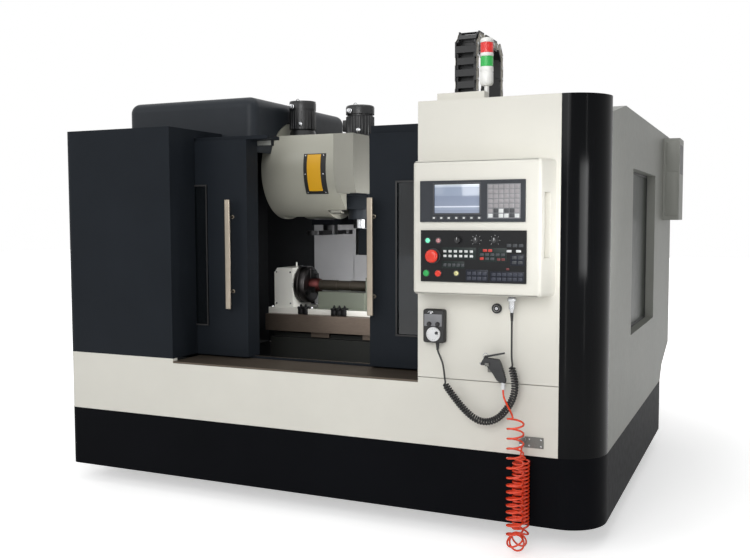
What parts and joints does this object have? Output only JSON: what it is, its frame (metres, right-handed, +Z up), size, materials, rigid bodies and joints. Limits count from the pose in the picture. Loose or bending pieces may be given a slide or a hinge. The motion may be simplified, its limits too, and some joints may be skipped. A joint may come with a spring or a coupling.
{
  "type": "cnc machining center",
  "caption": "Vertical machining center with sliding doors, moving table with a rotary unit, spindle head, disc tool magazine and side pendant.",
  "frame": {"origin": "on the floor, under the middle of the machine's overall box without its free cord and hose", "axes": "+Z up, -Y towards the operator in front of the doors, +X to the operator's right"},
  "size_m": [3.116, 2.8525, 2.6594],
  "materials": {
    "cream_paint": "semi-gloss powder coat",
    "blue_black_paint": "satin powder coat",
    "gloss_black_paint": "gloss enamel",
    "black_paint": "satin powder coat",
    "grey_sheet": "satin",
    "tan_plate": "worn steel",
    "cast_iron_paint": "painted casting",
    "ground_iron": "ground",
    "white_paint": "semi-gloss enamel",
    "dark_steel": "oiled",
    "bright_steel": "machined",
    "satin_handle": "satin anodised",
    "window_glass": "laminated",
    "black_motor": "satin",
    "black_plastic": "moulded",
    "black_cord": "satin",
    "orange_hose": "polyurethane",
    "signal_lens": "clear moulded",
    "red_button": "moulded",
    "green_button": "moulded"
  },
  "bodies": {
    "frame": {"lower_front_band": "cream_paint", "control_cabinet": "cream_paint", "right_side_cover": "cream_paint", "heat_exchanger": "cream_paint", "pendant_housing": "cream_paint", "magazine_cover": "cream_paint", "rear_cabinet": "cream_paint", "left_side_cover": "cream_paint", "left_front_cover": "blue_black_paint", "rear_left_hood": "blue_black_paint", "corner_column_cover": "gloss_black_paint", "base_skirt": "black_paint", "interior_guards": "black_paint", "arm_drive_unit": "black_paint", "rear_guard": "grey_sheet", "door_rails": "grey_sheet", "sill_plate": "tan_plate", "machine_bed": "cast_iron_paint", "column": "cast_iron_paint", "stack_light_body": "white_paint", "levelling_feet": "bright_steel", "cord_connector": "bright_steel", "hose_bracket": "bright_steel", "side_window": "window_glass", "servo_motors": "black_motor", "display_unit": "black_plastic", "operator_panel": "black_plastic", "drag_chain": "black_plastic", "handwheel_box": "black_plastic", "air_gun_body": "black_plastic", "handwheel_cord": "black_cord", "air_hose": "orange_hose", "stack_light_lenses": "signal_lens"},
    "left_door": {"left_door": "blue_black_paint", "left_door_window": "window_glass", "left_door_handle": "satin_handle"},
    "right_door": {"right_door": "blue_black_paint", "right_door_window": "window_glass", "right_door_handle": "satin_handle"},
    "saddle": {"saddle": "cast_iron_paint"},
    "table": {"table": "ground_iron", "rotary_housing": "white_paint", "tailstock": "cast_iron_paint"},
    "chuck": {"rotary_chuck": "dark_steel"},
    "head": {"headstock": "cast_iron_paint", "head_cover": "cream_paint", "spindle_motor": "black_motor"},
    "spindle": {"spindle": "bright_steel"},
    "magazine_disc": {"magazine_disc": "dark_steel"},
    "change_arm": {"change_arm": "dark_steel"},
    "x_screw": {"x_ball_screw": "bright_steel"},
    "y_screw": {"y_ball_screw": "bright_steel"},
    "z_screw": {"z_ball_screw": "bright_steel"},
    "rear_door": {"rear_cabinet_door": "cream_paint"},
    "emergency_stop": {"emergency_stop": "red_button"},
    "start_button": {"start_button": "green_button"},
    "hold_button": {"hold_button": "red_button"},
    "feed_override": {"feed_override_knob": "black_plastic"},
    "handwheel": {"handwheel_dial": "bright_steel"},
    "gun_trigger": {"air_gun_trigger": "black_plastic"}
  },
  "joints": [
    {"name": "left_door_slide", "type": "slide", "parent": "frame", "child": "left_door", "axis": [1, 0, 0], "range_m": [0, 0.367]},
    {"name": "right_door_slide", "type": "slide", "parent": "frame", "child": "right_door", "axis": [-1, 0, 0], "range_m": [0, 0.367]},
    {"name": "y_axis", "type": "slide", "parent": "frame", "child": "saddle", "axis": [0, 1, 0], "range_m": [-0.25, 0.25]},
    {"name": "x_axis", "type": "slide", "parent": "saddle", "child": "table", "axis": [1, 0, 0], "range_m": [-0.4, 0.4]},
    {"name": "z_axis", "type": "slide", "parent": "frame", "child": "head", "axis": [0, 0, 1], "range_m": [-0.29, 0.21]},
    {"name": "spindle_spin", "type": "hinge", "parent": "head", "child": "spindle", "pos_m": [-0.158, -0.2725, 1.5], "axis": [0, 0, 1], "continuous": true},
    {"name": "rotary_spin", "type": "hinge", "parent": "table", "child": "chuck", "pos_m": [-0.498, -0.3375, 1.1], "axis": [1, 0, 0], "continuous": true},
    {"name": "magazine_spin", "type": "hinge", "parent": "frame", "child": "magazine_disc", "pos_m": [-0.618, -0.2725, 1.757], "axis": [1, 0, 0], "continuous": true},
    {"name": "arm_swing", "type": "hinge", "parent": "frame", "child": "change_arm", "pos_m": [-0.363, -0.2725, 1.42], "axis": [0, 0, 1], "range_deg": [0, 90]},
    {"name": "x_screw_spin", "type": "hinge", "parent": "saddle", "child": "x_screw", "pos_m": [-0.158, -0.2725, 0.74], "axis": [1, 0, 0], "range_deg": [-9010, 9010]},
    {"name": "y_screw_spin", "type": "hinge", "parent": "frame", "child": "y_screw", "pos_m": [-0.158, -0.3425, 0.43], "axis": [0, 1, 0], "range_deg": [-5640, 5640]},
    {"name": "z_screw_spin", "type": "hinge", "parent": "frame", "child": "z_screw", "pos_m": [-0.158, 0.2955, 1.5], "axis": [0, 0, 1], "range_deg": [-6540, 4740]},
    {"name": "rear_door_hinge", "type": "hinge", "parent": "frame", "child": "rear_door", "pos_m": [0, 1.4105, 1.48], "axis": [0, 0, 1], "range_deg": [0, 110]},
    {"name": "emergency_stop_push", "type": "slide", "parent": "frame", "child": "emergency_stop", "axis": [0, 1, 0], "range_m": [0, 0.005]},
    {"name": "start_push", "type": "slide", "parent": "frame", "child": "start_button", "axis": [0, 1, 0], "range_m": [0, 0.003], "stiffness_N_per_m": 400},
    {"name": "hold_push", "type": "slide", "parent": "frame", "child": "hold_button", "axis": [0, 1, 0], "range_m": [0, 0.003], "stiffness_N_per_m": 400},
    {"name": "feed_override_turn", "type": "hinge", "parent": "frame", "child": "feed_override", "pos_m": [0.843, -1.3825, 1.407], "axis": [0, 1, 0], "range_deg": [-135, 135]},
    {"name": "handwheel_turn", "type": "hinge", "parent": "frame", "child": "handwheel", "pos_m": [0.692, -1.2925, 0.965], "axis": [0, 1, 0], "continuous": true},
    {"name": "trigger_squeeze", "type": "hinge", "parent": "frame", "child": "gun_trigger", "pos_m": [0.958, -1.3025, 0.874], "axis": [0, 1, 0], "range_deg": [0, 8], "stiffness_Nm_per_rad": 1}
  ],
  "couplings": [
    {"joint": "x_screw_spin", "follows": "x_axis", "rad_per_m": 392.7},
    {"joint": "y_screw_spin", "follows": "y_axis", "rad_per_m": 392.7},
    {"joint": "z_screw_spin", "follows": "z_axis", "rad_per_m": 392.7}
  ]
}
